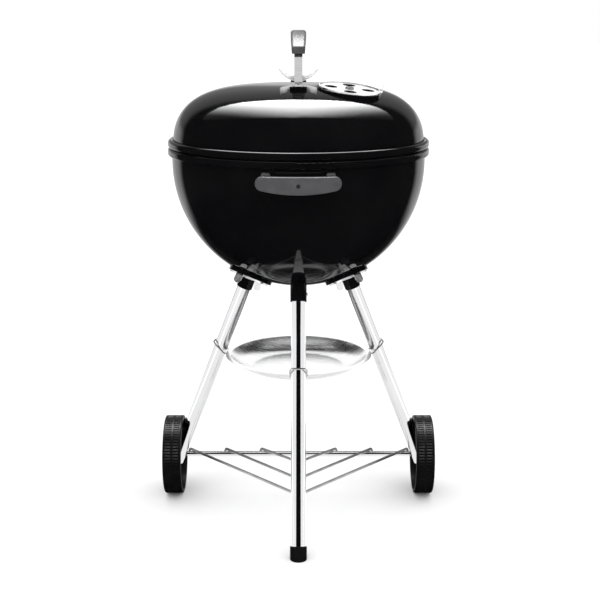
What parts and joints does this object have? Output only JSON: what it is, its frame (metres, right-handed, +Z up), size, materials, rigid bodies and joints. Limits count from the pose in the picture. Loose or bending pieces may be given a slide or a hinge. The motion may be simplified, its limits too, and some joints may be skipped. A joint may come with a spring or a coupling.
{
  "type": "kettle charcoal grill",
  "caption": "Round enamelled charcoal kettle grill with lift-off lid, air dampers, grates, ash pan and a wheeled tubular stand.",
  "frame": {"origin": "on the floor, at the middle of the object's footprint box", "axes": "+Z up, the front leg and front handle towards -Y, the wheel axle along X; symmetric left to right apart from the lid damper and the front leg's button"},
  "size_m": [0.5286, 0.5426, 0.879],
  "materials": {
    "black_enamel": "glossy black porcelain enamel on steel",
    "grip_plastic": "satin dark grey moulded nylon",
    "bracket_steel": "plain bright steel strip",
    "bright_aluminium": "bright satin aluminium sheet",
    "chromed_steel": "bright chrome plating",
    "wheel_plastic": "black moulded plastic with a ribbed tread",
    "foot_plastic": "black moulded plastic",
    "grate_steel": "plain steel rod",
    "fastener_steel": "zinc plated steel"
  },
  "bodies": {
    "root": {"bowl": "black_enamel", "bowl_handle_front": "grip_plastic", "bowl_handle_rear": "grip_plastic", "bowl_handle_bolts": "fastener_steel", "cooking_grate_tabs": "grate_steel", "charcoal_grate_tabs": "grate_steel", "front_foot": "foot_plastic", "axle": "chromed_steel", "rack_spine": "grate_steel", "bowl_damper_rivets": "fastener_steel", "leg_socket_front": "black_enamel", "leg_front": "chromed_steel", "ash_pan_clip_front": "fastener_steel", "leg_socket_right": "black_enamel", "leg_right": "chromed_steel", "ash_pan_clip_right": "fastener_steel", "leg_socket_left": "black_enamel", "leg_left": "chromed_steel", "ash_pan_clip_left": "fastener_steel", "hub_cap_left": "chromed_steel", "hub_cap_right": "chromed_steel", "rack_wire_outer": "grate_steel", "rack_wire_middle": "grate_steel", "rack_wire_inner": "grate_steel"},
    "lid_body": {"lid": "black_enamel", "lid_handle_grip": "grip_plastic", "lid_handle_bracket_front": "bracket_steel", "lid_handle_bracket_rear": "bracket_steel", "lid_handle_pads": "black_enamel", "lid_handle_bolts": "fastener_steel", "lid_handle_screws": "fastener_steel", "heat_shield": "bracket_steel", "lid_damper_rivet": "fastener_steel"},
    "lid_damper_body": {"lid_damper": "bright_aluminium"},
    "bowl_damper_left_body": {"bowl_damper_left": "bright_aluminium"},
    "bowl_damper_right_body": {"bowl_damper_right": "bright_aluminium"},
    "bowl_damper_rear_body": {"bowl_damper_rear": "bright_aluminium"},
    "leg_button_front_body": {"leg_button_front": "fastener_steel"},
    "leg_button_left_body": {"leg_button_left": "fastener_steel"},
    "leg_button_right_body": {"leg_button_right": "fastener_steel"},
    "cooking_grate_body": {"cooking_grate": "chromed_steel"},
    "charcoal_grate_body": {"charcoal_grate": "grate_steel"},
    "ash_pan_body": {"ash_pan": "bright_aluminium"},
    "wheel_left_body": {"wheel_left": "wheel_plastic"},
    "wheel_right_body": {"wheel_right": "wheel_plastic"}
  },
  "joints": [
    {"name": "lid_lift", "type": "slide", "parent": "root", "child": "lid_body", "axis": [0, 0, 1], "range_m": [0, 0.3]},
    {"name": "lid_damper_turn", "type": "hinge", "parent": "lid_body", "child": "lid_damper_body", "pos_m": [0.08706, -0.07777, 0.78188], "axis": [0.1103, -0.1103, 0.9878], "range_deg": [0, 45]},
    {"name": "bowl_damper_left_turn", "type": "hinge", "parent": "root", "child": "bowl_damper_left_body", "pos_m": [-0.08756, -0.04126, 0.44609], "axis": [-0.3832, -0.2212, -0.8968], "range_deg": [0, 45]},
    {"name": "bowl_damper_right_turn", "type": "hinge", "parent": "root", "child": "bowl_damper_right_body", "pos_m": [0.08756, -0.04126, 0.44609], "axis": [0.3832, -0.2212, -0.8968], "range_deg": [0, 45]},
    {"name": "bowl_damper_rear_turn", "type": "hinge", "parent": "root", "child": "bowl_damper_rear_body", "pos_m": [0, 0.1104, 0.44609], "axis": [0, 0.4425, -0.8968], "range_deg": [0, 45]},
    {"name": "wheel_left_spin", "type": "hinge", "parent": "root", "child": "wheel_left_body", "pos_m": [0, 0.05018, 0.075], "axis": [1, 0, 0], "continuous": true},
    {"name": "wheel_right_spin", "type": "hinge", "parent": "root", "child": "wheel_right_body", "pos_m": [0, 0.05018, 0.075], "axis": [1, 0, 0], "continuous": true},
    {"name": "ash_pan_lift", "type": "slide", "parent": "root", "child": "ash_pan_body", "axis": [0, 0, 1], "range_m": [0, 0.004]},
    {"name": "cooking_grate_lift", "type": "slide", "parent": "root", "child": "cooking_grate_body", "axis": [0, 0, 1], "range_m": [0, 0.036]},
    {"name": "charcoal_grate_lift", "type": "slide", "parent": "root", "child": "charcoal_grate_body", "axis": [0, 0, 1], "range_m": [0, 0.05]},
    {"name": "leg_button_front_press", "type": "slide", "parent": "root", "child": "leg_button_front_body", "axis": [-1, 0, 0], "range_m": [0, 0.0038], "stiffness_N_per_m": 400},
    {"name": "leg_button_left_press", "type": "slide", "parent": "root", "child": "leg_button_left_body", "axis": [-0.1736, -0.9848, 0], "range_m": [0, 0.0038], "stiffness_N_per_m": 400},
    {"name": "leg_button_right_press", "type": "slide", "parent": "root", "child": "leg_button_right_body", "axis": [0.1736, -0.9848, 0], "range_m": [0, 0.0038], "stiffness_N_per_m": 400}
  ]
}
